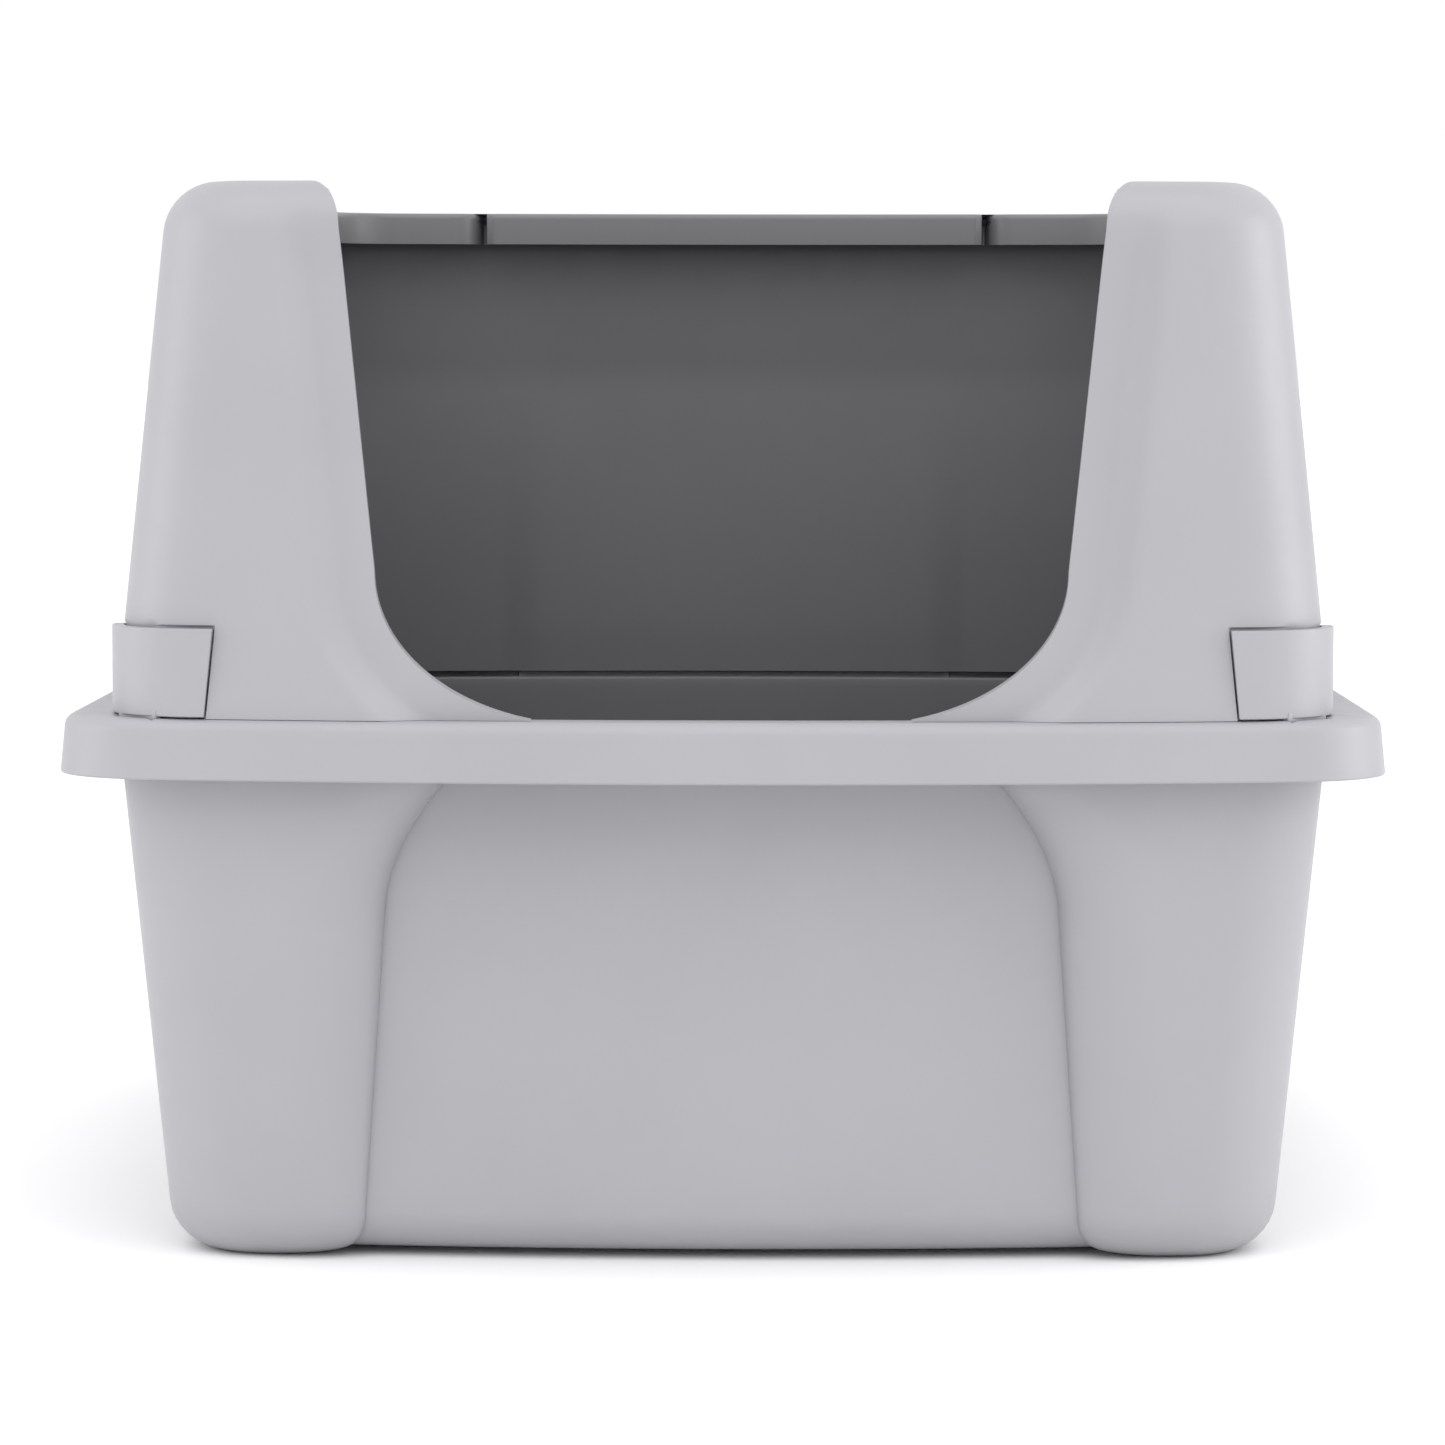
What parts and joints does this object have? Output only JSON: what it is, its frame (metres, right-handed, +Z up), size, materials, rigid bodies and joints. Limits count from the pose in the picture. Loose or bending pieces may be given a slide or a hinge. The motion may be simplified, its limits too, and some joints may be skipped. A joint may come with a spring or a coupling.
{
  "type": "cat litter box with hood",
  "caption": "Open-topped hooded cat litter box: deep base with a loose pan, a two-part hood with a U-shaped front entrance, and corner latches.",
  "frame": {"origin": "on the floor under the middle of the box's plan outline", "axes": "+Z up, front entrance towards -Y, +X to the right as seen from the front"},
  "size_m": [0.41, 0.52, 0.3335],
  "materials": {
    "base_grey": "satin light grey moulded polypropylene",
    "frame_grey": "satin light grey moulded polypropylene",
    "latch_grey": "satin light grey moulded polypropylene",
    "pan_dark_grey": "satin dark grey moulded polypropylene",
    "hood_dark_grey": "satin dark grey moulded polypropylene",
    "pin_grey": "plain grey moulded acetal"
  },
  "bodies": {
    "base": {"base_pan": "base_grey", "latch_pin_front_left": "pin_grey", "latch_pin_front_right": "pin_grey", "latch_pin_rear_left": "pin_grey", "latch_pin_rear_right": "pin_grey"},
    "pan": {"litter_pan": "pan_dark_grey"},
    "hood": {"front_frame": "frame_grey", "rear_hood": "hood_dark_grey"},
    "latch_front_left": {"latch_front_left": "latch_grey"},
    "latch_front_right": {"latch_front_right": "latch_grey"},
    "latch_rear_left": {"latch_rear_left": "latch_grey"},
    "latch_rear_right": {"latch_rear_right": "latch_grey"}
  },
  "joints": [
    {"name": "hood_lift", "type": "slide", "parent": "base", "child": "hood", "axis": [0, 0, 1], "range_m": [0, 0.3]},
    {"name": "pan_lift", "type": "slide", "parent": "base", "child": "pan", "axis": [0, 0, 1], "range_m": [0, 0.12]},
    {"name": "latch_front_left_hinge", "type": "hinge", "parent": "base", "child": "latch_front_left", "pos_m": [-0.17765, -0.23321, 0.1675], "axis": [0.7071, -0.7071, 0], "range_deg": [0, 16]},
    {"name": "latch_front_right_hinge", "type": "hinge", "parent": "base", "child": "latch_front_right", "pos_m": [0.17765, -0.23321, 0.1675], "axis": [0.7071, 0.7071, 0], "range_deg": [0, 16]},
    {"name": "latch_rear_left_hinge", "type": "hinge", "parent": "base", "child": "latch_rear_left", "pos_m": [-0.17765, 0.22321, 0.1675], "axis": [-0.7071, -0.7071, 0], "range_deg": [0, 16]},
    {"name": "latch_rear_right_hinge", "type": "hinge", "parent": "base", "child": "latch_rear_right", "pos_m": [0.17765, 0.22321, 0.1675], "axis": [-0.7071, 0.7071, 0], "range_deg": [0, 16]}
  ]
}
